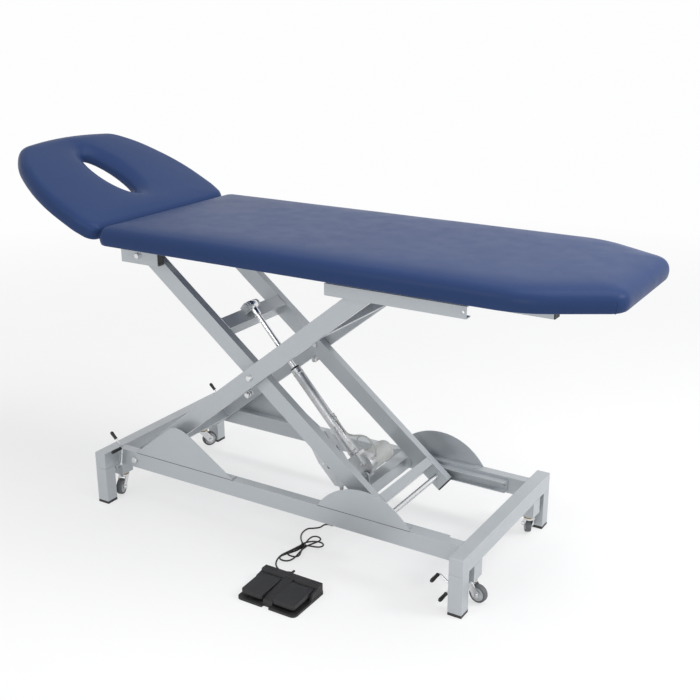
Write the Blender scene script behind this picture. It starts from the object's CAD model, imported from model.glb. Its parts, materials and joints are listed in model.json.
"""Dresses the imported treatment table: padded top, coated frame, lift drive, castors and foot switch."""
import json
import math

import bmesh
import bpy
from bpy.props import FloatProperty, FloatVectorProperty, PointerProperty
from mathutils import Matrix, Quaternion, Vector, noise


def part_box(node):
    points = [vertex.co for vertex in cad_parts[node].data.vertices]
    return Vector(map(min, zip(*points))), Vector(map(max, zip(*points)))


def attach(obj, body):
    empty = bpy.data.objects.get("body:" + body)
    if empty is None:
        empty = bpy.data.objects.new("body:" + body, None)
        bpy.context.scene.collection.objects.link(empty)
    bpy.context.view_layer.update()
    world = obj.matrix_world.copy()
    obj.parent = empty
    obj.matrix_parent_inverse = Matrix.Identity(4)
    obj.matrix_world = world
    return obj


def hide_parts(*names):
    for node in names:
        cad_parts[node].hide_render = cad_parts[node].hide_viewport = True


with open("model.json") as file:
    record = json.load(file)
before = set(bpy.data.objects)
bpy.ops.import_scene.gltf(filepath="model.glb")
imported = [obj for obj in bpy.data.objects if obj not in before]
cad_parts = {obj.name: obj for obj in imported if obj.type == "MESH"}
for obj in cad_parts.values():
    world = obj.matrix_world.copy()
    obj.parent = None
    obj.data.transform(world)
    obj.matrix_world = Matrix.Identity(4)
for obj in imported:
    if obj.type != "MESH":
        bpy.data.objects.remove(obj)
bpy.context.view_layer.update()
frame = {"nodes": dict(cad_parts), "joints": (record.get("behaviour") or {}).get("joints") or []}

bl_info = {
    "name": "Treatment table",
    "version": (1, 0, 0),
    "blender": (4, 5, 0),
    "location": "View3D > Sidebar > Table",
    "description": "Builds the looks of a padded treatment table over its packed CAD frame",
    "category": "Object",
}

NODES = frame["nodes"]
JOINTS = {joint["name"]: joint for joint in frame["joints"]}
CORNERS = ("foot_near", "foot_far", "head_near", "head_far")
MM = 0.001
Y_AXIS = Vector((0, 1, 0))
Z_AXIS = Vector((0, 0, 1))
BACKDROP = (0.988, 0.989, 0.992)


# Shapes

def pivot(joint):
    """The place of a hinge in the frame."""
    return Vector(JOINTS[joint]["pos_m"])


def spin_axis(joint):
    """The unit vector that a joint turns about or slides along."""
    return Vector(JOINTS[joint]["axis"]).normalized()


def mesh_piece(name, verts, faces, finish, smooth=True):
    """A new object from points in metres and faces, with one finish."""
    mesh = bpy.data.meshes.new(name)
    mesh.from_pydata([tuple(v) for v in verts], [], faces)
    mesh.validate()
    shell = bmesh.new()
    shell.from_mesh(mesh)
    bmesh.ops.recalc_face_normals(shell, faces=shell.faces)
    shell.to_mesh(mesh)
    shell.free()
    mesh.polygons.foreach_set("use_smooth", [smooth] * len(mesh.polygons))
    mesh.materials.append(finish)
    piece = bpy.data.objects.new(name, mesh)
    bpy.context.scene.collection.objects.link(piece)
    return piece


def place(piece, body, slot, *stands_for):
    """Lets a piece ride on its body, names its slot and hides the CAD nodes that it stands for."""
    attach(piece, body)
    if stands_for:
        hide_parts(*stands_for)
    return piece


def soften(piece, width, steps=2, angle=32):
    """Rounds the sharp edges of a piece."""
    weld = piece.modifiers.new("weld", "WELD")
    weld.merge_threshold = 0.00002
    plain = piece.modifiers.new("plain faces", "DECIMATE")
    plain.decimate_type = "DISSOLVE"
    plain.angle_limit = math.radians(0.6)
    bevel = piece.modifiers.new("edges", "BEVEL")
    bevel.width = width
    bevel.segments = steps
    bevel.limit_method = "ANGLE"
    bevel.angle_limit = math.radians(angle)
    bevel.use_clamp_overlap = True
    bevel.harden_normals = True
    return piece


def smoother(piece, levels=1):
    """Subdivides a piece."""
    level = piece.modifiers.new("smooth", "SUBSURF")
    level.levels = levels
    level.render_levels = levels
    return piece


def ring_faces(count, size, closed=False):
    """Quads between rings of the same size, one after another."""
    last = count if closed else count - 1
    return [
        (j * size + i, j * size + (i + 1) % size,
         (j + 1) % count * size + (i + 1) % size, (j + 1) % count * size + i)
        for j in range(last) for i in range(size)
    ]


def side_vectors(direction):
    """Two unit vectors square to a direction."""
    start = Z_AXIS if abs(direction.z) < 0.8 else Vector((1, 0, 0))
    side = start.cross(direction).normalized()
    return side, direction.cross(side)


def turned_solid(profile, start, direction, steps=40):
    """Points and faces of a closed solid of revolution. The profile is a list of (along, radius)."""
    side, other = side_vectors(direction)
    verts = []
    for along, radius in profile:
        for k in range(steps):
            angle = 2 * math.pi * k / steps
            verts.append(start + direction * along
                         + (side * math.cos(angle) + other * math.sin(angle)) * radius)
    faces = ring_faces(len(profile), steps)
    faces.append(tuple(range(steps)))
    faces.append(tuple(range((len(profile) - 1) * steps, len(profile) * steps)))
    return verts, faces


def ring_solid(section, start, direction, steps=40):
    """Points and faces of a ring from a closed section of (along, radius)."""
    verts, faces = turned_solid(section, start, direction, steps)
    return verts, ring_faces(len(section), steps, closed=True)


def millimetres(*section):
    """A section of (along, radius) given in millimetres, in metres."""
    return [(along * MM, radius * MM) for along, radius in section]


def merged(*solids):
    """Several solids' points and faces as one."""
    verts, faces = [], []
    for solid_verts, solid_faces in solids:
        base = len(verts)
        verts += solid_verts
        faces += [tuple(base + i for i in face) for face in solid_faces]
    return verts, faces


def place_solids(name, solids, finish, body, slot, *stands_for):
    """Makes one piece of several solids and lets it ride on its body."""
    return place(mesh_piece(name, *merged(*solids), finish_of(finish)), body, slot, *stands_for)


def swept_solid(points, radius, sides=14):
    """Points and faces of a round tube along points, its rings carried along without twist."""
    verts = []
    side = None
    for i, point in enumerate(points):
        ahead = points[min(i + 1, len(points) - 1)] - points[max(i - 1, 0)]
        ahead.normalize()
        if side is None:
            side = side_vectors(ahead)[0]
        side = (side - ahead * side.dot(ahead)).normalized()
        other = ahead.cross(side)
        size = radius(i) if callable(radius) else radius
        for k in range(sides):
            angle = 2 * math.pi * k / sides
            verts.append(point + (side * math.cos(angle) + other * math.sin(angle)) * size)
    faces = ring_faces(len(points), sides)
    faces.append(tuple(range(sides)))
    faces.append(tuple(range((len(points) - 1) * sides, len(points) * sides)))
    return verts, faces


def spline(points, steps):
    """A smooth line through hand-chosen points."""
    line = []
    for i in range(len(points) - 1):
        a, b = points[max(i - 1, 0)], points[i]
        c, d = points[i + 1], points[min(i + 2, len(points) - 1)]
        for k in range(steps):
            t = k / steps
            line.append(0.5 * (2 * b + (c - a) * t + (2 * a - 5 * b + 4 * c - d) * t * t
                               + (3 * b - a - 3 * c + d) * t ** 3))
    line.append(points[-1].copy())
    return line


def hexagon_head(start, direction, across, height):
    """Points and faces of a hexagon bolt head with a chamfered top."""
    radius = across / math.sqrt(3)
    profile = [(0, radius), (height * 0.8, radius), (height, radius * 0.86)]
    return turned_solid(profile, start, direction, 6)


def place_nuts(name, ends, across, height, edge, body):
    """Places hexagon nuts as one piece, each at its end and facing its direction."""
    solids = [hexagon_head(at, outward, across, height) for at, outward in ends]
    nuts = mesh_piece(name, *merged(*solids), finish_of("zinc"), smooth=False)
    place(soften(nuts, edge), body, "zinc")


def rounded_outline(corners, radii, steps):
    """The outline of a polygon with rounded corners, as pairs of a point and its outward normal."""
    line = []
    for i, middle in enumerate(corners):
        before = (corners[i - 1] - middle).normalized()
        after = (corners[(i + 1) % len(corners)] - middle).normalized()
        bisector = (before + after).normalized()
        half = before.angle(after) / 2
        centre = middle + bisector * radii[i] / math.sin(half)
        spread = math.pi / 2 - half
        facing = math.atan2(-bisector.y, -bisector.x)
        for k in range(steps):
            angle = facing - spread + 2 * spread * k / (steps - 1)
            normal = Vector((math.cos(angle), math.sin(angle)))
            line.append((centre + normal * radii[i], normal))
    return line


def even_outline(line, spacing):
    """The same outline with points an even distance apart."""
    made = []
    for i, (point, normal) in enumerate(line):
        next_point, next_normal = line[(i + 1) % len(line)]
        count = max(1, round((next_point - point).length / spacing))
        for k in range(count):
            share = k / count
            mixed = normal.lerp(next_normal, share).normalized()
            made.append((point.lerp(next_point, share), mixed))
    return made


def from_middle(line):
    """The same closed outline, started at its point of the smallest X that is nearest the middle."""
    least = min(point.x for point, normal in line)
    start = min((i for i, (point, normal) in enumerate(line) if point.x < least + 1e-4),
                key=lambda i: abs(line[i][0].y))
    return line[start:] + line[:start]


def across_faces(start, size):
    """Faces that close a ring by joining its two halves across the middle."""
    half = (size - 1) // 2
    faces = [(start, start + 1, start + size - 1)]
    faces += [(start + i, start + i + 1, start + size - i - 1, start + size - i)
              for i in range(1, half)]
    if size % 2 == 0:
        faces.append((start + half, start + half + 1, start + half + 2))
    return faces


# Finishes

class Finish:
    """A procedural material, with short calls for the nodes that the finishes share."""

    def __init__(self, name, colour, rough, metal=0.0):
        self.material = bpy.data.materials.new(name)
        self.material.use_nodes = True
        self.tree = self.material.node_tree
        self.shader = self.tree.nodes["Principled BSDF"]
        self.shader.inputs["Base Color"].default_value = (*colour, 1)
        self.shader.inputs["Roughness"].default_value = rough
        self.shader.inputs["Metallic"].default_value = metal
        self.colour = colour
        self.place = self.node("TexCoord").outputs["Object"]
        self.relief = None

    def node(self, kind, **values):
        """A new shader node with its inputs or settings."""
        made = self.tree.nodes.new("ShaderNode" + kind)
        for key, value in values.items():
            if key in made.inputs:
                made.inputs[key].default_value = value
            else:
                setattr(made, key, value)
        return made

    def join(self, start, end):
        self.tree.links.new(start, end)

    def stretched(self, scale):
        """Coordinates with a scale for each axis."""
        mapping = self.node("Mapping")
        mapping.inputs["Scale"].default_value = scale
        self.join(self.place, mapping.inputs["Vector"])
        return mapping.outputs["Vector"]

    def cloud(self, scale, detail=3.0, stretch=None):
        """Soft noise from 0 to 1."""
        made = self.node("TexNoise", Scale=scale, Detail=detail)
        self.join(self.stretched(stretch) if stretch else self.place, made.inputs["Vector"])
        return made.outputs["Fac"]

    def cells(self, scale, feature="F1"):
        """Distance in a field of small cells, for grain."""
        made = self.node("TexVoronoi", feature=feature, Scale=scale)
        self.join(self.place, made.inputs["Vector"])
        return made.outputs["Distance"]

    def remap(self, value, low, high, to_low, to_high):
        """Moves a value's range to another."""
        made = self.node("MapRange")
        ends = {"From Min": low, "From Max": high, "To Min": to_low, "To Max": to_high}
        for key, number in ends.items():
            made.inputs[key].default_value = number
        self.join(value, made.inputs["Value"])
        return made.outputs["Result"]

    def sums(self, operation, a, b):
        """One step of arithmetic on two values."""
        made = self.node("Math", operation=operation)
        for socket, value in zip(made.inputs, (a, b)):
            if isinstance(value, (int, float)):
                socket.default_value = value
            else:
                self.join(value, socket)
        return made.outputs["Value"]

    def tint(self, value, dark, light):
        """Mixes the base colour between a darker and a lighter share of itself."""
        mix = self.node("MixRGB")
        mix.inputs["Color1"].default_value = (*[c * dark for c in self.colour], 1)
        mix.inputs["Color2"].default_value = (*[min(1.0, c * light) for c in self.colour], 1)
        self.join(value, mix.inputs["Fac"])
        self.join(mix.outputs["Color"], self.shader.inputs["Base Color"])

    def second_colour(self, value, colour):
        """Lays another colour over the linked one where value is 1."""
        mix = self.node("MixRGB")
        present = self.shader.inputs["Base Color"].links[0]
        self.join(present.from_socket, mix.inputs["Color1"])
        mix.inputs["Color2"].default_value = (*colour, 1)
        self.join(value, mix.inputs["Fac"])
        self.join(mix.outputs["Color"], self.shader.inputs["Base Color"])

    def roughen(self, value, low, high):
        """Varies the roughness between two values."""
        self.join(self.remap(value, 0.3, 0.7, low, high), self.shader.inputs["Roughness"])

    def bump(self, height, strength, depth):
        """Adds a layer of relief over the earlier ones."""
        made = self.node("Bump", Strength=strength, Distance=depth)
        self.join(height, made.inputs["Height"])
        if self.relief is not None:
            self.join(self.relief, made.inputs["Normal"])
        self.relief = made.outputs["Normal"]
        self.join(self.relief, self.shader.inputs["Normal"])

    def set(self, **sockets):
        """Sets the shader's own values, with an underscore for each space in a name."""
        for key, value in sockets.items():
            self.shader.inputs[key.replace("_", " ")].default_value = value


def leatherette(name, colour):
    """Soft upholstery sheet with a fine pebble grain and shallow pulls."""
    finish = Finish(name, colour, 0.4)
    finish.tint(finish.cloud(5, 4), 0.95, 1.05)
    finish.roughen(finish.cloud(22, 3), 0.3, 0.36)
    finish.bump(finish.cloud(7, 2, (1, 2.2, 1)), 0.03, 0.002)
    finish.bump(finish.cells(780, "SMOOTH_F1"), 0.3, 0.0003)
    finish.bump(finish.cloud(1500, 2), 0.2, 0.0001)
    finish.set(Specular_IOR_Level=0.06)
    return finish.material


def powder_coat(name, colour):
    """Silver-grey coated steel with a faint orange peel and flake."""
    finish = Finish(name, colour, 0.4, 0.45)
    finish.tint(finish.cloud(420, 2), 0.93, 1.06)
    finish.roughen(finish.cloud(18, 4), 0.33, 0.45)
    finish.bump(finish.cloud(260, 2), 0.12, 0.0004)
    finish.bump(finish.cells(2200), 0.1, 0.0001)
    finish.set(Coat_Weight=0.3, Coat_Roughness=0.22)
    return finish.material


def bright_metal(name, colour, rough, grain):
    """Zinc or chrome with fine drawn lines across the long way."""
    finish = Finish(name, colour, rough, 1.0)
    finish.tint(finish.cloud(55, 4), 0.86, 1.05)
    finish.roughen(finish.cloud(130, 3), rough * 0.75, rough * 1.3)
    finish.bump(finish.cloud(90, 2, grain), 0.08, 0.0003)
    return finish.material


def moulded(name, colour, rough, grain=1500, strength=0.25):
    """Moulded plastic or rubber with a spark-eroded texture."""
    finish = Finish(name, colour, rough)
    finish.tint(finish.cloud(70, 4), 0.9, 1.1)
    finish.roughen(finish.cloud(45, 3), rough * 0.88, min(1.0, rough * 1.12))
    finish.bump(finish.cloud(grain, 2), strength, 0.0002)
    return finish.material


def covered_board(name, colour):
    """Dark board with a stapled underlining cloth's weave."""
    finish = Finish(name, colour, 0.85)
    finish.tint(finish.cloud(8, 5), 0.8, 1.2)
    wave = finish.node("TexWave", Scale=420, Distortion=0.4)
    cross = finish.node("TexWave", Scale=420, Distortion=0.4, bands_direction="Y")
    finish.join(finish.place, wave.inputs["Vector"])
    finish.join(finish.place, cross.inputs["Vector"])
    finish.bump(finish.sums("MAXIMUM", wave.outputs["Fac"], cross.outputs["Fac"]), 0.4, 0.0003)
    return finish.material


def stem_metal(name, steel, cup, low, high):
    """Bright stem steel with a yellow passivated bearing cup between two heights."""
    finish = Finish(name, steel, 0.3, 1.0)
    finish.tint(finish.cloud(60, 4), 0.85, 1.05)
    height = finish.node("SeparateXYZ")
    finish.join(finish.place, height.inputs["Vector"])
    above = finish.sums("GREATER_THAN", height.outputs["Z"], low)
    below = finish.sums("LESS_THAN", height.outputs["Z"], high)
    finish.second_colour(finish.sums("MULTIPLY", above, below), cup)
    finish.roughen(finish.cloud(120, 3), 0.24, 0.4)
    return finish.material


def floor_paper(name, colour):
    """Studio paper that the camera sees near white: its shade is kept, thinned, and fades far out."""
    finish = Finish(name, colour, 0.9)
    finish.tint(finish.cloud(1.5, 2), 0.995, 1.005)
    finish.bump(finish.cloud(300, 3), 0.02, 0.0002)
    glow = finish.node("Emission", Color=(*BACKDROP, 1), Strength=1.0)
    away = finish.node("VectorMath", operation="LENGTH")
    finish.join(finish.place, away.inputs[0])
    share = finish.remap(away.outputs["Value"], 1.4, 4.4, 0.62, 1.0)
    mix = finish.node("MixShader")
    finish.join(finish.sums("MULTIPLY", share, seen_directly(finish.tree)), mix.inputs["Fac"])
    finish.join(finish.shader.outputs[0], mix.inputs[1])
    finish.join(glow.outputs[0], mix.inputs[2])
    finish.join(mix.outputs[0], finish.tree.nodes["Material Output"].inputs["Surface"])
    return finish.material


FINISHES = {}


def finish_of(name):
    """Makes the table's finishes once, from the colours in the panel."""
    if not FINISHES:
        colours = bpy.context.scene.table_colours
        cup_low, cup_high = (z * MM for z in (63.2, 70.2))
        FINISHES.update(
            upholstery=leatherette("upholstery", colours.upholstery),
            painted_steel=powder_coat("painted_steel", colours.coating),
            seam_grey=powder_coat("seam_grey", (0.12, 0.125, 0.13)),
            zinc=bright_metal("zinc", colours.zinc, 0.3, (1, 1, 6)),
            chrome=bright_metal("chrome", (0.80, 0.81, 0.82), 0.2, (1, 9, 1)),
            tube_alu=bright_metal("tube_alu", (0.62, 0.63, 0.64), 0.46, (1, 14, 1)),
            black_plastic=moulded("black_plastic", (0.022, 0.022, 0.024), 0.5),
            grip_rubber=moulded("grip_rubber", (0.016, 0.016, 0.017), 0.62, 900, 0.4),
            switch_plastic=moulded("switch_plastic", colours.switch, 0.42, 1100, 0.5),
            switch_base=moulded("switch_base", (0.012, 0.012, 0.013), 0.55, 1100, 0.4),
            motor_case=moulded("motor_case", (0.62, 0.63, 0.61), 0.38),
            box_plastic=moulded("box_plastic", (0.58, 0.60, 0.62), 0.4),
            castor_tyre=moulded("castor_tyre", (0.115, 0.122, 0.13), 0.6, 500, 0.2),
            castor_hub=moulded("castor_hub", (0.56, 0.57, 0.58), 0.42),
            cord_black=moulded("cord_black", (0.012, 0.012, 0.012), 0.4, 700, 0.15),
            cord_grey=moulded("cord_grey", (0.50, 0.51, 0.49), 0.42, 700, 0.15),
            board=covered_board("board", (0.035, 0.033, 0.031)),
            stem=stem_metal("stem", colours.zinc, (0.62, 0.42, 0.10), cup_low, cup_high),
        )
    return FINISHES[name]


class TableColours(bpy.types.PropertyGroup):
    """Colours of the table's visible finishes."""

    upholstery: FloatVectorProperty(
        name="Upholstery", description="Colour of the leatherette covers",
        default=(0.026, 0.049, 0.132), subtype="COLOR", min=0, max=1)
    coating: FloatVectorProperty(
        name="Frame coating", description="Colour of the powder-coated steel",
        default=(0.46, 0.49, 0.515), subtype="COLOR", min=0, max=1)
    zinc: FloatVectorProperty(
        name="Zinc plating", description="Colour of the plated rods, bolts and forks",
        default=(0.73, 0.74, 0.75), subtype="COLOR", min=0, max=1)
    switch: FloatVectorProperty(
        name="Foot switch", description="Colour of the foot switch's pedals",
        default=(0.010, 0.010, 0.012), subtype="COLOR", min=0, max=1)
    floor: FloatVectorProperty(
        name="Floor", description="Colour of the studio floor",
        default=(0.90, 0.905, 0.91), subtype="COLOR", min=0, max=1)


class TableSizes(bpy.types.PropertyGroup):
    """Sizes of the details that the looks add to the frame."""

    tube_edge: FloatProperty(
        name="Tube edge", description="Radius of the steel tubes' outer corners",
        default=1.6 * MM, min=0, max=4 * MM, unit="LENGTH")
    pad_wrinkle: FloatProperty(
        name="Cover pulls", description="Depth of the pulls along the covers' lower edges",
        default=0.9 * MM, min=0, max=3 * MM, unit="LENGTH")
    weld: FloatProperty(
        name="Weld bead", description="Radius of the weld beads between the frame tubes",
        default=1.5 * MM, min=0, max=3 * MM, unit="LENGTH")


class TableOperator(bpy.types.Operator):
    """Shared base of the table's operators."""

    bl_options = {"REGISTER", "UNDO"}

    def execute(self, context):
        self.build(context.scene)
        return {"FINISHED"}


# Camera, cords and stage

class TABLE_OT_camera(TableOperator):
    """Sets the camera at the photograph's viewing angle"""

    bl_idname = "table.camera"
    bl_label = "Camera"
    eye = Vector((1.5887, -2.4029, 1.5271))
    yaw, pitch, roll = -0.54977, 0.33506, 0.0024
    focal_share = 1053.5 / 700
    sensor = 36.0

    def build(self, scene):
        lens = bpy.data.cameras.new("camera")
        lens.sensor_width = self.sensor
        lens.lens = self.sensor * self.focal_share
        lens.clip_end = 200
        camera = bpy.data.objects.new("camera", lens)
        scene.collection.objects.link(camera)
        level = math.cos(self.pitch)
        forward = Vector((level * math.sin(self.yaw), level * math.cos(self.yaw),
                          -math.sin(self.pitch)))
        camera.location = self.eye
        camera.rotation_mode = "QUATERNION"
        camera.rotation_quaternion = (forward.to_track_quat("-Z", "Y")
                                      @ Quaternion((0, 0, 1), -self.roll))
        scene.camera = camera


SWITCH_CORD = 4.6 * MM
DRIVE_LEAD = 5 * MM
UPPER_ROUTE = (
    (162, -122, 174), (162, -122, 158), (160, -121, 130), (152, -116, 100), (138, -104, 70),
    (120, -88, 42), (104, -72, 20), (88, -58, 6), (72, -52, 2.6), (62, -62, 2.6), (60, -80, 2.6),
    (48, -94, 2.6), (34, -106, 2.6), (32, -128, 2.6), (40, -152, 2.6), (56, -174, 2.6),
    (72, -188, 3.2), (81.8, -197, 3.9), (81.8, -205, 3.9))
LOWER_ROUTE = (
    (81.8, -205, 14.3), (81.8, -213, 14.3), (77, -238, 14.3), (71, -264, 14.3), (66, -288, 14.3),
    (65, -306, 10), (72, -324, 5), (90, -338, 3), (112, -342, 3.4), (130, -341, 7), (140, -345, 10.6),
    (142, -351, 12), (142, -360, 12))
TIE_AT = (85, -205)
LONG_LOBES = ((-14, -90), (2, -66))
SHORT_LOBES = ((10, 64), (50, 26))
LONG_WIDTH, SHORT_WIDTH = 42, 32
LOBE_STEPS = 24
WAIST = 3.2
LAYERS = (3.9, 5.2)
# The degrees of a turn's second half in which the cord climbs to the next layer
CLIMB = 110


def soft_step(share):
    """A share from 0 to 1 that starts and ends gently."""
    share = min(max(share, 0), 1)
    return share * share * (3 - 2 * share)


def hank_point(angle):
    """A point of the hank: waisted loops about the tie, with a long and a short lobe in each."""
    turn, within = divmod(angle, 360)
    out = within < 180
    lobe = (LONG_LOBES if out else SHORT_LOBES)[min(int(turn), 1)]
    reach = abs(math.sin(math.radians(within)))
    swing = math.cos(math.radians(within))
    size = math.hypot(*lobe)
    side = (-lobe[1] / size, lobe[0] / size) if out else (lobe[1] / size, -lobe[0] / size)
    width = LONG_WIDTH if out else SHORT_WIDTH
    rise = turn + (0 if out else soft_step((within - 180) / CLIMB))
    return Vector((
        TIE_AT[0] + lobe[0] * reach * reach - WAIST * swing - side[0] * width * reach * reach * swing,
        TIE_AT[1] + lobe[1] * reach - side[1] * width * reach * reach * swing,
        LAYERS[0] + LAYERS[1] * rise))


def in_metres(points):
    """Points given in millimetres, in metres."""
    return [Vector(point) * MM for point in points]


class TABLE_OT_cords(TableOperator):
    """Lays the foot switch's cord with its hank, its tie and strain reliefs, and the drive's lead"""

    bl_idname = "table.cords"
    bl_label = "Cords"
    # Sections of the lead's plug and gland, as (along, radius)
    plug = millimetres((-12, 3.2), (-11, 4.6), (-4, 4.6), (-4, 3.8), (-1, 3.8), (-1, 4.6), (6, 4.4),
                       (8, 3.4), (18, 2.9))
    gland = millimetres((-6, 5.8), (0, 5.8), (2, 5), (8, 4.4), (12, 3))
    relief_ribs, rib_pitch, rib_depth = 7, 3.2 * MM, 0.8 * MM
    wire, tail_wire = 1.1 * MM, 1 * MM

    def build(self, scene):
        turns = [hank_point(i * 360 / LOBE_STEPS) for i in range(2 * LOBE_STEPS + 1)]
        route = spline(in_metres(UPPER_ROUTE), 4)
        route += spline(in_metres(turns), 2)[2:-2]
        route += spline(in_metres(LOWER_ROUTE), 4)
        cord = self.line("switch_cord", route, SWITCH_CORD, finish_of("cord_black"))
        place(cord, "base", "cord_black", "foot_cable", "cable_hank")
        tie = self.tie()
        reliefs = [self.relief("cord_relief_box", route[0], route[1] - route[0]),
                   self.relief("cord_relief_switch", route[-1], route[-2] - route[-1])]
        self.lead()

    def length(self, route):
        return sum((b - a).length for a, b in zip(route, route[1:]))

    def line(self, name, route, diameter, finish):
        """A curve of one open spline with a round section."""
        curve = bpy.data.curves.new(name, "CURVE")
        curve.dimensions = "3D"
        curve.bevel_depth = diameter / 2
        curve.bevel_resolution = 4
        curve.use_fill_caps = True
        spline_data = curve.splines.new("POLY")
        spline_data.points.add(len(route) - 1)
        for point, place_at in zip(spline_data.points, route):
            point.co = (*place_at, 1)
        spline_data.use_smooth = True
        curve.materials.append(finish)
        piece = bpy.data.objects.new(name, curve)
        bpy.context.scene.collection.objects.link(piece)
        return piece

    def relief(self, name, end, ahead):
        """A ribbed, tapered sleeve over the cord's end."""
        direction = ahead.normalized()
        profile = [(-0.002, 0.0042), (0, 0.0046)]
        for k in range(self.relief_ribs):
            base = 0.0015 + self.rib_pitch * k
            radius = 0.0044 - 0.0002 * k
            groove = radius - self.rib_depth
            profile += [(base, radius), (base + 0.0018, radius), (base + 0.0022, groove),
                        (base + 0.003, groove)]
        profile.append((0.0245, 0.0024))
        sleeve = turned_solid(profile, end, direction, 24)
        return place_solids(name, [sleeve], "black_plastic", "base", "cord_black")

    def tie(self):
        """A twisted wire tie round the waist of the hank."""
        low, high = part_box("cable_tie")
        middle = (low + high) / 2
        half = (high - low) / 2
        loop = [middle + Vector((half.x * 0.86 * math.cos(a), 0.0012 * math.sin(2 * a),
                                 half.z * 0.84 * math.sin(a)))
                for a in (math.pi / 2 + 2 * math.pi * k / 32 for k in range(33))]
        strap = swept_solid(loop, self.wire, 8)
        tails = []
        for side in (-1, 1):
            tail = [middle + Vector((side * 0.0012, 0, half.z * 0.82)),
                    middle + Vector((side * 0.003, -0.004, half.z * 0.95)),
                    middle + Vector((side * 0.006, -0.0015, half.z * 0.9))]
            tails.append(swept_solid(spline(tail, 4), self.tail_wire, 8))
        return place_solids("cord_tie", (strap, *tails), "black_plastic", "base", "black_plastic",
                            "cable_tie")

    def lead(self):
        """The drive's grey lead: up from the motor, round two loops, and along the tube to its plug."""
        route = spline([on_drive(MOTOR_ALONG + along, *sideways) for along, *sideways in LEAD_ROUTE], 4)
        lead = self.line("drive_lead", route, DRIVE_LEAD, finish_of("cord_grey"))
        place(lead, "drive_body", "cord_grey", "motor_cable")
        along = (route[-2] - route[-1]).normalized()
        solid = turned_solid(self.plug, route[-1] - along * 2 * MM, along, 24)
        plug = place_solids("drive_plug", [solid], "motor_case", "drive_body", "motor_case")
        solid = turned_solid(self.gland, route[0], (route[1] - route[0]).normalized(), 24)
        collar = place_solids("drive_gland", [solid], "motor_case", "drive_body", "motor_case")


# The motor's place along the drive, and the lead's points from there
MOTOR_ALONG = 571.11
LEAD_ROUTE = (
    (0, 6, 40.1), (0, 6, 46), (-5, 5, 60), (-19, 3, 72), (-38, 0, 78), (-58, -3, 74), (-72, -4, 61),
    (-73, -3, 45), (-61, 0, 34), (-43, 4, 33), (-31, 8, 42), (-31, 10, 57), (-42, 9, 68), (-59, 7, 66),
    (-72, 7, 54), (-81, 5, 40), (-90, 2, 28), (-102, 0, 20.5), (-117, 0, 18.4), (-133, 0, 18.4),
    (-159, 0, 18.4))


def on_drive(along, across, above):
    """A point given in the drive's own millimetres: along it from the rod eye, across and above."""
    axis = spin_axis("rod_stroke")
    up = Vector((-axis.z, 0, axis.x))
    return pivot("rod_swing") + (axis * along + Y_AXIS * across + up * above) * MM


class TABLE_OT_stage(TableOperator):
    """Sets the pale studio floor, the world and the soft lamps"""

    bl_idname = "table.stage"
    bl_label = "Stage"
    lamps = (
        ("lamp_top", (1.3, 0.2, 3.3), (0.3, 0, 0.7), 2.2, 56),
        ("lamp_left", (-0.9, -3.3, 2.6), (0, 0, 0.6), 1.3, 22),
        ("lamp_front", (1.5, -3.9, 1.5), (0.2, 0, 0.8), 0.5, 22),
        ("lamp_right", (3.0, 0.7, 2.4), (0.2, 0, 0.8), 0.9, 44),
    )
    world_strength = 0.53
    reach = 40

    def build(self, scene):
        scene.view_settings.view_transform = "Standard"
        self.world(scene)
        self.floor(scene)
        for name, at, aim, size, power in self.lamps:
            light = bpy.data.lights.new(name, "AREA")
            light.size = size
            light.energy = power
            lamp = bpy.data.objects.new(name, light)
            lamp.location = at
            lamp.rotation_mode = "QUATERNION"
            lamp.rotation_quaternion = (Vector(aim) - Vector(at)).to_track_quat("-Z", "Y")
            scene.collection.objects.link(lamp)

    def world(self, scene):
        world = bpy.data.worlds.new("studio")
        world.use_nodes = True
        tree = world.node_tree
        soft = tree.nodes["Background"]
        soft.inputs["Color"].default_value = (1, 1, 1, 1)
        soft.inputs["Strength"].default_value = self.world_strength
        seen = tree.nodes.new("ShaderNodeBackground")
        seen.inputs["Color"].default_value = (*BACKDROP, 1)
        seen.inputs["Strength"].default_value = 1
        mix = tree.nodes.new("ShaderNodeMixShader")
        tree.links.new(seen_directly(tree), mix.inputs["Fac"])
        tree.links.new(soft.outputs[0], mix.inputs[1])
        tree.links.new(seen.outputs[0], mix.inputs[2])
        tree.links.new(mix.outputs[0], tree.nodes["World Output"].inputs["Surface"])
        scene.world = world

    def floor(self, scene):
        corners = [Vector((sx, sy, 0)) * self.reach for sx, sy in ((-1, -1), (1, -1), (1, 1), (-1, 1))]
        floor = mesh_piece("floor", corners, [(0, 1, 2, 3)],
                           floor_paper("floor_paper", scene.table_colours.floor), False)


def seen_directly(tree):
    """1 for a ray from the camera, off a glossy surface or through glass, and 0 for soft light."""
    path = tree.nodes.new("ShaderNodeLightPath")
    total = path.outputs["Is Camera Ray"]
    for name in ("Is Glossy Ray", "Is Transmission Ray"):
        both = tree.nodes.new("ShaderNodeMath")
        both.operation = "MAXIMUM"
        tree.links.new(total, both.inputs[0])
        tree.links.new(path.outputs[name], both.inputs[1])
        total = both.outputs["Value"]
    return total


# Cushions

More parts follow.
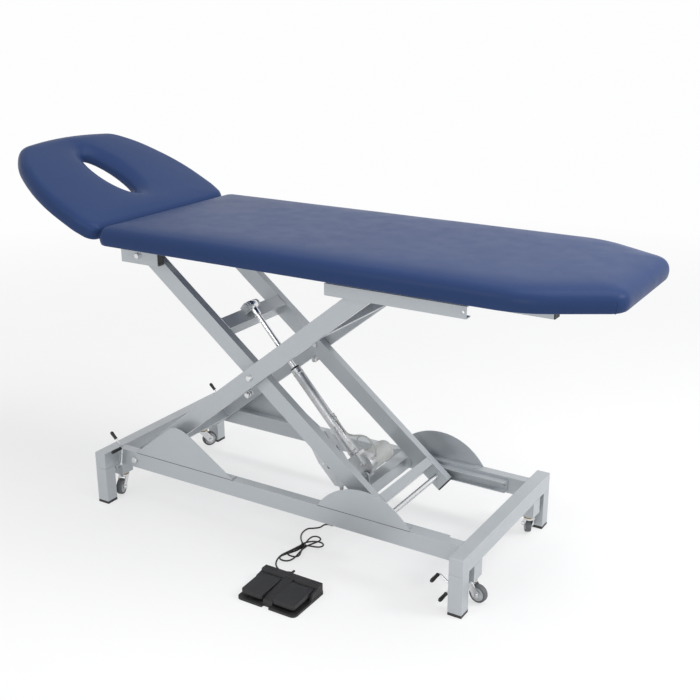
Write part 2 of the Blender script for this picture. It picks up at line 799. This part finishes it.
class TABLE_OT_main_pad(TableOperator):
    """Makes the long main pad: drawn-in sides, soft top edge, crown and sewn corners"""

    bl_idname = "table.main_pad"
    bl_label = "Main pad"
    end_half = 185 * MM
    taper = 200 * MM
    radii = (30 * MM, 250 * MM, 60 * MM, 60 * MM, 250 * MM, 34 * MM)
    edge = 48 * MM
    # How far a ring stands in from the outline, and its share of the soft edge's height
    sides = ((14, 0.0), (9, -0.006), (5.6, 0.02), (3.4, 0.08), (1.9, 0.17), (0.7, 0.28), (0.0, 0.42),
             (0.4, 0.53), (1.3, 0.64), (2.9, 0.74), (5.2, 0.83), (8.2, 0.91), (12.4, 0.99), (18, 1.06))
    crown = (0.02, 0.045, 0.075, 0.11, 0.16, 0.23, 0.33, 0.48, 0.68, 0.88)
    # The crown's level line stops this far short of the head end and the foot end
    spine_in = (0.27, 0.3)
    seam_height = 0.66

    def build(self, scene):
        low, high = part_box("main_cushion")
        half = high.y
        shoulder = high.x - self.taper
        corners = [Vector(p) for p in ((low.x, -half), (shoulder, -half), (high.x, -self.end_half),
                                       (high.x, self.end_half), (shoulder, half), (low.x, half))]
        line = from_middle(even_outline(rounded_outline(corners, self.radii, 9), 9 * MM))
        depth = high.z - low.z
        rings = [self.ring(line, inset * MM, low.z + share * self.edge) for inset, share in self.sides]
        spine = (low.x + self.spine_in[0], high.x - self.spine_in[1])
        last = rings[-1]
        edge_z = last[0].z
        for share in self.crown:
            rise = (1 - math.exp(-share / 0.1)) * (high.z - edge_z)
            rings.append([self.toward_spine(p, spine, share, edge_z + rise) for p in last])
        size = len(line)
        verts = [v for ring in rings for v in ring]
        faces = ring_faces(len(rings), size) + across_faces(0, size)
        faces += across_faces((len(rings) - 1) * size, size)
        pulled = [pull(v, low.z, depth, scene.table_sizes.pad_wrinkle) for v in verts]
        pad = mesh_piece("main_pad", pulled, faces, finish_of("upholstery"))
        smoother(pad)
        place(pad, "top", "upholstery", "main_cushion")
        self.seams(line, low.z)

    def seams(self, line, base):
        """The sewn folds that run up the sides at the four corners."""
        folds = []
        for corner in range(4):
            sx, sy = (-1, 1)[corner % 2], (-1, 1)[corner // 2]
            point, normal = max(line, key=lambda pair: sx * pair[1].x + sy * pair[1].y
                                + 0.2 * (sx * pair[0].x + sy * pair[0].y))
            fold = [Vector((*(point - normal * (inset + 0.25) * MM), base + share * self.edge))
                    for inset, share in self.sides[1:] if share < self.seam_height]
            folds.append(swept_solid(spline(fold, 3), 0.9 * MM, 8))
        place_solids("main_pad_seams", folds, "upholstery", "top", "upholstery")

    def ring(self, line, inset, height):
        return [Vector((*(point - normal * inset), height)) for point, normal in line]

    def toward_spine(self, point, spine, share, height):
        """A point moved toward the crown's level line by a share, at a height."""
        target = Vector((min(max(point.x, spine[0]), spine[1]), 0, 0))
        moved = point.lerp(target, share)
        moved.z = height
        return moved


def pull(point, base, depth, size):
    """Moves a cover's point a little: shallow waves on top and short pulls near the lower edge."""
    near_base = max(0.0, 1 - abs((point.z - base) / depth - 0.18) / 0.35)
    short = noise.noise(Vector((point.x * 38, point.y * 38, point.z * 9)))
    broad = noise.noise(Vector((point.x * 7, point.y * 7, 3)))
    outward = Vector((point.x * 0.35, point.y, 0))
    outward = outward.normalized() if outward.length > 0.001 else Vector((0, 0, 0))
    on_top = 1 if point.z > base + 0.86 * depth else 0
    drawn_in = point - outward * max(0.0, short) * near_base * size
    return drawn_in + Z_AXIS * (broad - 0.35) * size * 0.7 * on_top


class TABLE_OT_head_pad(TableOperator):
    """Makes the head pad: oval face opening with a sunk soft rim, drawn-in sides and crown"""

    bl_idname = "table.head_pad"
    bl_label = "Head pad"
    corners = ((0, -300), (66, -314), (215, -314), (372, -253), (435, -190), (464, 0),
               (435, 190), (372, 253), (215, 314), (66, 314), (0, 300))
    radii = (40, 150, 450, 270, 85, 900, 85, 270, 450, 150, 40)
    face_at, face_half_l, face_half_w = 244, 114, 46
    half_width = 314
    depth, rise, tilt = 48, 5, 26
    crease_gap, crease_up = 3, 47
    sides = ((14, -1.0), (9, -1.0), (5.6, -0.98), (3.2, -0.91), (1.7, -0.82), (0.6, -0.7), (0, -0.58),
             (0.4, -0.46), (1.4, -0.34), (3, -0.25), (5.6, -0.17), (9, -0.09), (13, -0.03), (18, 0.02))
    # Rings of the opening: how far each grows from its oval, and its height in millimetres
    rim = ((44, 3.2), (38, 2.2), (31, 0.4), (24, -2.6), (18, -5.4), (12, -8.6), (6, -12.6), (0, -17),
           (-3, -24), (-3.5, -34), (-1, -44), (5, -48), (14, -48))
    between = (0.1, 0.22, 0.38, 0.55, 0.76)

    def build(self, scene):
        crease = self.crease()
        tilt = Matrix.Rotation(math.radians(self.tilt), 3, "Y") @ Matrix.Diagonal((-1, 1, 1))
        line = even_outline(rounded_outline([Vector(c) for c in self.corners], self.radii, 9), 8)
        size = len(line)
        rings = [[Vector((*(point - normal * inset), share * self.depth)) for point, normal in line]
                 for inset, share in self.sides]
        holes = [[self.hole_point(point, grow, z) for point, normal in line] for grow, z in self.rim]
        last, first = rings[-1], holes[0]
        for share in self.between:
            level = last[0].z + (self.rise - last[0].z) * math.sin(min(1, share * 2) * math.pi / 2)
            rings.append([Vector((*a.lerp(b, share).xy, level)) for a, b in zip(last, first)])
        rings += holes
        size_of_pulls = scene.table_sizes.pad_wrinkle / MM
        verts = [pull_head(v, self.face_at, self.depth, size_of_pulls) for ring in rings for v in ring]
        verts = [crease + tilt @ (v * MM) for v in verts]
        faces = ring_faces(len(rings), size, closed=True)
        pad = mesh_piece("head_pad", verts, faces, finish_of("upholstery"))
        smoother(pad)
        place(pad, "head_section", "upholstery", "head_cushion")

    def crease(self):
        """The hinge-side top edge of the head section at its middle."""
        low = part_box("main_cushion")[0]
        return Vector((low.x - self.crease_gap * MM, 0, low.z + self.crease_up * MM))

    def hole_point(self, point, grow, z):
        """The point of a grown face opening that faces a point of the outline."""
        angle = math.atan2(point.y / self.half_width, (point.x - self.face_at) / (2 * self.face_half_l))
        return Vector((self.face_at + (self.face_half_l + grow) * math.cos(angle),
                       (self.face_half_w + grow) * math.sin(angle), z))


def pull_head(point, face_at, depth, size):
    """The same small pulls and waves for the head pad, about its face opening."""
    near_base = max(0.0, 1 - abs((point.z + depth) / depth - 0.2) / 0.35)
    short = noise.noise(Vector((point.x * 0.04, point.y * 0.04, 7 + point.z * 0.01)))
    broad = noise.noise(Vector((point.x * 0.009, point.y * 0.009, 5)))
    middle = Vector((face_at, 0, point.z))
    outward = (point - middle).normalized() if (point - middle).length > 1 else Vector((0, 0, 0))
    on_top = 1 if point.z > 0.02 * depth else 0
    drawn_in = point - outward * max(0.0, short) * near_base * size
    return drawn_in + Z_AXIS * (broad - 0.35) * size * 0.6 * on_top


# Steel frame

ROUNDED = {
    "painted_steel": ("crossbars", "legs", "castor_housings", "side_rails", "actuator_beam",
                      "outer_arm_tubes", "outer_arm_ties", "inner_arm_tubes", "inner_arm_ties",
                      "top_rails", "top_cross_members", "pivot_brackets"),
    "thin_steel": ("lower_tracks", "guard_plates", "beam_brackets", "rod_clevis", "upper_tracks",
                   "hinge_plates", "head_hinge_arms"),
    "zinc": ("lower_pivot_bolts", "centre_pins", "upper_rollers", "lower_axle", "lower_rollers",
             "upper_pivot_bolts"),
    "caps": ("foot_caps", "inner_arm_caps", "top_rail_caps"),
}


def dress(node, finish, edge=0.0, steps=2):
    """Gives a CAD node its finish and soft edges."""
    piece = NODES[node]
    piece.data.materials.clear()
    piece.data.materials.append(finish_of(finish))
    if edge:
        soften(piece, edge, steps)


class TABLE_OT_frame(TableOperator):
    """Finishes the steel tubes, plates, bolts, caps and boards"""

    bl_idname = "table.frame"
    bl_label = "Steel frame"

    def build(self, scene):
        edge = scene.table_sizes.tube_edge
        for node in ROUNDED["painted_steel"]:
            dress(node, "painted_steel", edge, 3)
        for node in ROUNDED["thin_steel"]:
            dress(node, "painted_steel", 0.5 * MM)
        for node in ROUNDED["zinc"]:
            dress(node, "zinc", 0.6 * MM)
        for node in ROUNDED["caps"]:
            dress(node, "black_plastic", 0.9 * MM)
        for node in ("deck_board", "head_board"):
            dress(node, "board", 1.2 * MM)


def on_outer(along, across, above):
    """A point in the outer arms' own millimetres, from the middle pivot up along the arm."""
    return on_arm(pivot("arm_cross") - pivot("lift"), along, across, above)


def on_inner(along, across, above):
    """A point in the inner arms' own millimetres, from the middle pivot down along the arm."""
    return on_arm(pivot("arm_cross") - pivot("top_level"), along, across, above)


def on_arm(direction, along, across, above):
    """A point along a direction from the middle pivot, across the table and above the arm."""
    direction = direction.normalized()
    up = Vector((-direction.z, 0, direction.x))
    return pivot("arm_cross") + (direction * along + Y_AXIS * across + up * above) * MM


def bead(corners, radius, rough=0.25):
    """A weld bead round a loop of corners, with its even ripples."""
    line = []
    for i, corner in enumerate(corners):
        ahead = corners[(i + 1) % len(corners)]
        count = max(2, int((ahead - corner).length / 0.0022))
        line += [corner.lerp(ahead, k / count) for k in range(count)]
    line.append(line[0].copy())

    def rippled(i):
        return radius * (1 + rough * math.sin(i * 1.9) + 0.1 * math.sin(i * 0.37))

    return swept_solid(line, rippled, 6)


def square_at(place_at, first, second):
    """Four corners of a rectangle from two spans, each given to the function that places a point."""
    return [place_at(first[0], second[0]), place_at(first[1], second[0]),
            place_at(first[1], second[1]), place_at(first[0], second[1])]


class TABLE_OT_welds(TableOperator):
    """Lays the weld beads between the tubes of the base, the arms and the top frame"""

    bl_idname = "table.welds"
    bl_label = "Weld beads"
    outer_ties = ((252, 277), (-517, -492))
    inner_ties = ((-193, -152), (482, 509))
    cross_starts = (135 * MM, 640 * MM)
    cross_w, rail_w, bracket_w = 30 * MM, 30 * MM, 18 * MM
    # Lengths of the guard plates' feet, and the joint line's radius and stretches
    hump_inset, hump_l, moon_l = 6 * MM, 373 * MM, 290 * MM
    seam_radius, seam_steps = 0.9 * MM, 60

    def build(self, scene):
        self.radius = scene.table_sizes.weld
        self.base()
        self.arms()
        self.top()

    def add(self, name, body, loops):
        beads = [bead(loop, self.radius) for loop in loops]
        place_solids(name, beads, "painted_steel", body, "painted_steel")

    def base(self):
        rail_low, rail_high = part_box("side_rails")
        beam_low, beam_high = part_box("actuator_beam")
        loops = []
        for sx in (-1, 1):
            for sy in (-1, 1):
                ys = (sy * (rail_high.y - self.rail_w), sy * rail_high.y)
                loops.append(square_at(lambda y, z: Vector((sx * rail_high.x, y, z)), ys,
                                       (rail_low.z, rail_high.z)))
        for sy in (-1, 1):
            loops.append(square_at(lambda x, z: Vector((x, sy * beam_high.y, z)),
                                   (beam_low.x, beam_high.x), (beam_low.z, beam_high.z)))
        self.add("base_welds", "base", loops)
        self.guard_seams(rail_high)

    def guard_seams(self, rail_high):
        """The dark joint lines along the rails under the guard plates."""
        low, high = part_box("guard_plates")
        hump = low.x + self.hump_inset, low.x + self.hump_l
        moon = high.x - self.moon_l, high.x
        seams = []
        for start, end in (hump, moon):
            for sy in (-1, 1):
                y = sy * (rail_high.y + 0.1 * MM)
                line = [Vector((start + (end - start) * k / self.seam_steps, y, rail_high.z))
                        for k in range(self.seam_steps + 1)]
                seams.append(swept_solid(line, self.seam_radius, 6))
        place_solids("guard_seams", seams, "seam_grey", "base", "painted_steel")

    def arms(self):
        for name, body, on, ties, inner_box, half in (
                ("outer_arm_welds", "outer_arms", on_outer, self.outer_ties, "outer_arm_ties", 23),
                ("inner_arm_welds", "inner_arms", on_inner, self.inner_ties, "inner_arm_ties", 25)):
            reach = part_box(inner_box)[1].y / MM
            loops = [square_at(lambda s, h: on(s, sy * reach, h), tie, (-half, half))
                     for tie in ties for sy in (-1, 1)]
            self.add(name, body, loops)

    def top(self):
        low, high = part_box("top_cross_members")
        bracket_low, bracket_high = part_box("pivot_brackets")
        main_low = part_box("main_cushion")[0]
        loops = []
        for x in (*[main_low.x + start for start in self.cross_starts], high.x - self.cross_w):
            loops += [square_at(lambda a, z: Vector((a, sy * high.y, z)),
                                (x, x + self.cross_w), (low.z, high.z)) for sy in (-1, 1)]
        for sy in (-1, 1):
            ys = (sy * (bracket_high.y - self.bracket_w), sy * bracket_high.y)
            loops.append(square_at(lambda a, y: Vector((a, y, bracket_high.z)),
                                   (bracket_low.x, bracket_high.x), ys))
        self.add("top_welds", "top", loops)


class TABLE_OT_fasteners(TableOperator):
    """Puts hexagon nuts on the pivots and screws under the boards"""

    bl_idname = "table.fasteners"
    bl_label = "Nuts and screws"
    # Name, body, joint, the node that each nut stands on and how far off it, width and height
    nuts = (("lower_pivot_nuts", "base", "lift", "lower_pivot_bolts", 0, 17, 1.6),
            ("middle_pivot_nuts", "outer_arms", "arm_cross", "outer_arm_tubes", 3, 15, 5),
            ("upper_pivot_nuts", "top", "top_level", "upper_pivot_bolts", 0, 15, 5))
    nut_edge = 0.4 * MM
    screw = millimetres((0, 4.5), (1.6, 4.2), (2.6, 2.6))
    screws_from_head, last_screw_in = (0.12, 0.42, 0.9), 0.09
    rail_half = 15 * MM

    def build(self, scene):
        for name, body, joint, node, off, across, height in self.nuts:
            at = pivot(joint)
            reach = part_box(node)[1].y + off * MM
            ends = [(Vector((at.x, sy * reach, at.z)), Y_AXIS * sy) for sy in (-1, 1)]
            place_nuts(name, ends, across * MM, height * MM, self.nut_edge, body)
        self.deck_screws()

    def deck_screws(self):
        """Pan-head screws up through the top rails into the board."""
        low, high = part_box("top_rails")
        middle = high.y - self.rail_half
        solids = []
        for x in (*[low.x + along for along in self.screws_from_head], high.x - self.last_screw_in):
            for sy in (-1, 1):
                at = Vector((x, sy * middle, low.z))
                solids.append(turned_solid(self.screw, at, -Z_AXIS, 20))
        place_solids("deck_screws", solids, "zinc", "top", "zinc")


# Castors and their levers

class TABLE_OT_castors(TableOperator):
    """Makes the castor wheels with tyre and hub, and finishes their forks and stems"""

    bl_idname = "table.castors"
    bl_label = "Castors"
    tyre = millimetres((-7.4, 18.6), (-8.3, 19.8), (-8.7, 21.6), (-8.1, 23.4), (-6.4, 24.5),
                       (-3, 24.95), (3, 24.95), (6.4, 24.5), (8.1, 23.4), (8.7, 21.6), (8.3, 19.8),
                       (7.4, 18.6))
    hub = millimetres((-9, 3.2), (-9, 7.2), (-8.2, 7.9), (-6.4, 8.2), (-5.4, 9.4), (-5.4, 14.8),
                      (-6.6, 15.8), (-7.8, 16.6), (-8.1, 18.2), (-7.2, 18.9), (7.2, 18.9), (8.1, 18.2),
                      (7.8, 16.6), (6.6, 15.8), (5.4, 14.8), (5.4, 9.4), (6.4, 8.2), (8.2, 7.9),
                      (9, 7.2), (9, 3.2))
    wheel_steps = 48
    nut_out, nut_across, nut_height, nut_edge = 14.2 * MM, 10 * MM, 3.4 * MM, 0.3 * MM

    def build(self, scene):
        for corner in CORNERS:
            at, axis = pivot("wheel_spin_" + corner), spin_axis("wheel_spin_" + corner)
            body = "wheel_" + corner
            tyre = ring_solid(self.tyre, at, axis, self.wheel_steps)
            place_solids("castor_tyre_" + corner, [tyre], "castor_tyre", body, "castor_tyre",
                         "castor_wheel_" + corner)
            hub = ring_solid(self.hub, at, axis, self.wheel_steps)
            place_solids("castor_hub_" + corner, [hub], "castor_hub", body, "castor_tyre")
            dress("castor_fork_" + corner, "zinc", 0.5 * MM)
            dress("castor_stem_" + corner, "stem", 0.5 * MM)
            self.nuts(corner, at, axis)

    def nuts(self, corner, at, axis):
        """The axle's two nuts."""
        ends = [(at + axis * side * self.nut_out, axis * side) for side in (-1, 1)]
        place_nuts("castor_nuts_" + corner, ends, self.nut_across, self.nut_height, self.nut_edge,
                   "fork_" + corner)


def rounded_line(points, radius, steps=6):
    """A line of straight stretches with its corners rounded."""
    line = [points[0].copy()]
    for before, middle, after in zip(points, points[1:], points[2:]):
        back, ahead = (before - middle), (after - middle)
        cut = min(radius, back.length * 0.48, ahead.length * 0.48)
        start, end = middle + back.normalized() * cut, middle + ahead.normalized() * cut
        for k in range(steps + 1):
            t = k / steps
            line.append(start * (1 - t) ** 2 + middle * 2 * t * (1 - t) + end * t * t)
    line.append(points[-1].copy())
    return line


class TABLE_OT_levers(TableOperator):
    """Makes the castor levers: bent plated rods with rubber grips on a hub"""

    bl_idname = "table.levers"
    bl_label = "Castor levers"
    rod = 3 * MM
    # The grip's section in millimetres, which a share shortens
    grip = ((0, 3.2), (0.5, 5.0), (2.5, 5.6), (4, 5.2), (8, 4.7), (20, 5.2), (30, 5.7), (36, 5.4),
            (39.5, 4.2), (41, 2.0))
    foot_fork, foot_ends = (-31, -42), ((-68, -16), (-43, -65))
    head_fork, head_corner, head_end = (-36, 26), (-46, 84), (-6, 124)
    # How far from the middle the shaft meets its guide block, and the rods' bends and grips
    block_at, shaft, bend, grip_from, rod_out = 0.211, 5 * MM, 9 * MM, 6, 16
    end_grip_back, end_grip_share, ball_radius = 24 * MM, 0.68, 4.2 * MM
    collar = millimetres((-7, 6), (-6, 8), (4, 8), (5, 6.8), (5, 3))

    def build(self, scene):
        for corner in CORNERS:
            self.lever(corner)

    def lever(self, corner):
        hub = pivot("lever_turn_" + corner)
        sx = 1 if hub.x > 0 else -1
        sy = 1 if hub.y > 0 else -1

        def at(point, out=0.0):
            return hub + Vector((sx * point[0], sy * out, point[1])) * MM

        outward = Y_AXIS * sy
        reach_in = (hub.y * sy - self.block_at) / MM
        rods = [turned_solid(self.collar, hub, outward, 28),
                swept_solid([at((0, 0), -reach_in), at((0, 0), -4)], self.shaft, 20)]
        grips = []
        if sx > 0:
            for end in self.foot_ends:
                path = [at((0, 0)), at(self.foot_fork), at(end), at(end, self.rod_out)]
                rods.append(swept_solid(rounded_line(path, self.bend), self.rod))
                grips.append(self.grip_solid(at(end, self.grip_from), outward))
        else:
            corner_at, end_at = at(self.head_corner), at(self.head_end)
            path = [at((0, 0)), at(self.head_fork), corner_at, at(self.head_corner, self.rod_out)]
            rods.append(swept_solid(rounded_line(path, self.bend), self.rod))
            rods.append(swept_solid([corner_at, end_at], self.rod))
            grips.append(self.grip_solid(at(self.head_corner, self.grip_from), outward))
            along = (end_at - corner_at).normalized()
            grip_at = end_at - along * self.end_grip_back
            grips.append(self.grip_solid(grip_at, along, self.end_grip_share))
        rods.append(self.ball(at(self.foot_fork if sx > 0 else self.head_fork)))
        place_solids("lever_rods_" + corner, rods, "zinc", "lever_" + corner, "zinc",
                     "castor_lever_" + corner)
        grip_part = mesh_piece("lever_grips_" + corner, *merged(*grips), finish_of("grip_rubber"))
        place(smoother(grip_part), "lever_" + corner, "black_plastic")

    def grip_solid(self, start, direction, share=1.0):
        """A rubber grip on a rod's end."""
        section = [(along * share, radius) for along, radius in self.grip]
        return turned_solid(millimetres(*section), start, direction, 20)

    def ball(self, middle):
        """A round joint where a lever's rods meet."""
        radius = self.ball_radius
        profile = [(-radius * math.cos(a), max(0.0002, radius * math.sin(a)))
                   for a in (math.pi * k / 10 for k in range(11))]
        return turned_solid(profile, middle, Y_AXIS, 18)


# Lift drive and control box

class TABLE_OT_drive(TableOperator):
    """Finishes the lift drive: chrome rod, tube with wiper, gear housing, banded motor and screws"""

    bl_idname = "table.drive"
    bl_label = "Lift drive"
    rod_show, tube_end, tube_radius = 228, 532, 15.5
    bands_at = (rod_show + 12, tube_end - 14)
    motor_along, motor_above, motor_from, motor_radius, motor_length = 571.1, 7, 20, 31, 100
    motor_bands_at = (8, 84)
    motor_screws_at = 27.5 * MM
    motor_screw = millimetres((-1, 2.6), (1.2, 2.6), (2, 1.6))
    housing_face, housing_screws_at, housing_screws_up = -21, (tube_end + 6, tube_end + 34), 15
    housing_screw = millimetres((-1, 3), (1.4, 3), (2.4, 1.8))
    wiper = millimetres((-5, 8.6), (-5, 12), (-3, 14.5), (0, 15.2), (0, 8.6))

    def build(self, scene):
        dress("actuator_rod", "chrome", 0.8 * MM)
        dress("actuator_tube", "tube_alu", 0.5 * MM)
        dress("gear_housing", "tube_alu", 2.4 * MM, 3)
        dress("motor", "motor_case", 3 * MM, 4)
        axis = spin_axis("rod_stroke")
        wiper = ring_solid(self.wiper, on_drive(self.rod_show, 0, 0), axis)
        place_solids("drive_wiper", [wiper], "black_plastic", "drive_body", "black_plastic")
        bands = [self.band(along, axis) for along in self.bands_at]
        place_solids("drive_bands", bands, "tube_alu", "drive_body", "tube_alu")
        self.motor_details()
        self.housing_screws()

    def band(self, along, axis):
        """A swaged band round the tube."""
        foot, top = self.tube_radius - 0.6, self.tube_radius + 0.9
        section = millimetres((0, foot), (0.8, top), (7.2, top), (8, foot))
        return ring_solid(section, on_drive(along, 0, 0), axis)

    def motor_details(self):
        """Parting bands and end screws on the motor's case."""
        start = on_drive(self.motor_along, self.motor_from, self.motor_above)
        foot, top = self.motor_radius - 1, self.motor_radius + 0.7
        rings = []
        for along in self.motor_bands_at:
            section = millimetres((along, foot), (along + 0.6, top), (along + 3.4, top), (along + 4, foot))
            rings.append(ring_solid(section, start, Y_AXIS, 64))
        place_solids("motor_bands", rings, "motor_case", "drive_body", "motor_case")
        far = start + Y_AXIS * self.motor_length * MM
        screws = []
        for k in range(4):
            angle = math.pi / 4 + k * math.pi / 2
            at = far + Vector((math.cos(angle), 0, math.sin(angle))) * self.motor_screws_at
            screws.append(turned_solid(self.motor_screw, at, Y_AXIS, 16))
        place_solids("motor_screws", screws, "zinc", "drive_body", "zinc")

    def housing_screws(self):
        """Screws on the near face of the gear housing."""
        screws = []
        for along in self.housing_screws_at:
            for above in (-self.housing_screws_up, self.housing_screws_up):
                at = on_drive(along, self.housing_face, above)
                screws.append(turned_solid(self.housing_screw, at, -Y_AXIS, 18))
        place_solids("housing_screws", screws, "zinc", "drive_body", "zinc")


class TABLE_OT_control_box(TableOperator):
    """Finishes the control box: soft case edges, parting seam, screws and sockets"""

    bl_idname = "table.control_box"
    bl_label = "Control box"
    outline = ((63, 302), (96, 245), (105, 236), (150, 188), (174, 188), (198, 228), (110, 342))
    screws_at = ((80, 300), (112, 246), (184, 224), (112, 326))
    sockets_at = ((100, 283), (116, 262), (132, 242))
    # How far the case's round boss stands out of its near face, and how far in the seam runs
    boss_out, seam_in, seam_radius = 1.5 * MM, 11 * MM, 0.8 * MM
    # Sections of a screw head, a socket's rim and its floor, as (along, radius)
    screw = millimetres((-0.6, 3.4), (0.8, 3.2), (1.6, 2.2))
    socket_rim = millimetres((-0.5, 5.6), (0.8, 6.0), (1.4, 5.6), (1.4, 4.4), (-0.5, 4.4))
    socket_floor = millimetres((0, 4.4), (0.5, 4.4))

    def build(self, scene):
        dress("control_box", "box_plastic", 2.6 * MM, 3)
        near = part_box("control_box")[0].y + self.boss_out
        seam_y = near + self.seam_in
        corners = [Vector((x, seam_y / MM, z)) * MM for x, z in self.outline]
        middle = sum(corners, Vector()) / len(corners)
        edge = [c + (middle - c).normalized() * 0.6 * MM for c in corners]
        seam = bead(edge, self.seam_radius, 0.0)
        place_solids("box_seam", [seam], "black_plastic", "base", "box_plastic")
        screws = [turned_solid(self.screw, Vector((x * MM, near, z * MM)), -Y_AXIS, 18)
                  for x, z in self.screws_at]
        place_solids("box_screws", screws, "zinc", "base", "zinc")
        sockets = []
        for x, z in self.sockets_at:
            at = Vector((x * MM, near, z * MM))
            sockets.append(ring_solid(self.socket_rim, at, -Y_AXIS, 24))
            sockets.append(turned_solid(self.socket_floor, at, -Y_AXIS, 24))
        place_solids("box_sockets", sockets, "black_plastic", "base", "black_plastic")


class TABLE_OT_foot_switch(TableOperator):
    """Finishes the foot switch: base, back bar, bridge and its two pedals"""

    bl_idname = "table.foot_switch"
    bl_label = "Foot switch"
    pad_in, pad_in_back = 0.022, 0.03
    pad = millimetres((0, 7), (0.3, 7.4), (1.2, 7.4))

    def build(self, scene):
        dress("foot_switch_case", "switch_base", 1.6 * MM, 3)
        for node in ("up_pedal", "down_pedal"):
            dress(node, "switch_plastic", 2.6 * MM, 4)
        self.feet()

    def feet(self):
        """Four rubber pads under the base."""
        low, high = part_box("foot_switch_case")
        pads = []
        for x in (low.x + self.pad_in, high.x - self.pad_in):
            for y in (low.y + self.pad_in, high.y - self.pad_in_back):
                pads.append(turned_solid(self.pad, Vector((x, y, 0)), Z_AXIS, 20))
        place_solids("switch_feet", pads, "grip_rubber", "base", "switch_plastic")


class VIEW3D_PT_table(bpy.types.Panel):
    """Lists the table's colours, sizes and build steps"""

    bl_label = "Treatment table"
    bl_idname = "VIEW3D_PT_table"
    bl_space_type = "VIEW_3D"
    bl_region_type = "UI"
    bl_category = "Table"

    def draw(self, context):
        scene = context.scene
        for group in (scene.table_colours, scene.table_sizes):
            for name in group.bl_rna.properties.keys():
                if name not in ("rna_type", "name"):
                    self.layout.prop(group, name)
        for step in STEPS:
            self.layout.operator(step.bl_idname)


STEPS = (
    TABLE_OT_camera, TABLE_OT_cords, TABLE_OT_stage, TABLE_OT_frame, TABLE_OT_welds, TABLE_OT_fasteners,
    TABLE_OT_main_pad, TABLE_OT_head_pad, TABLE_OT_castors, TABLE_OT_levers, TABLE_OT_drive,
    TABLE_OT_control_box, TABLE_OT_foot_switch)
CLASSES = (TableColours, TableSizes, *STEPS, VIEW3D_PT_table)


def register():
    for cls in CLASSES:
        bpy.utils.register_class(cls)
    bpy.types.Scene.table_colours = PointerProperty(type=TableColours)
    bpy.types.Scene.table_sizes = PointerProperty(type=TableSizes)


def unregister():
    del bpy.types.Scene.table_sizes
    del bpy.types.Scene.table_colours
    for cls in reversed(CLASSES):
        bpy.utils.unregister_class(cls)


def main():
    register()
    for step in STEPS:
        group, name = step.bl_idname.split(".")
        getattr(getattr(bpy.ops, group), name)()


if __name__ == "__main__":
    main()
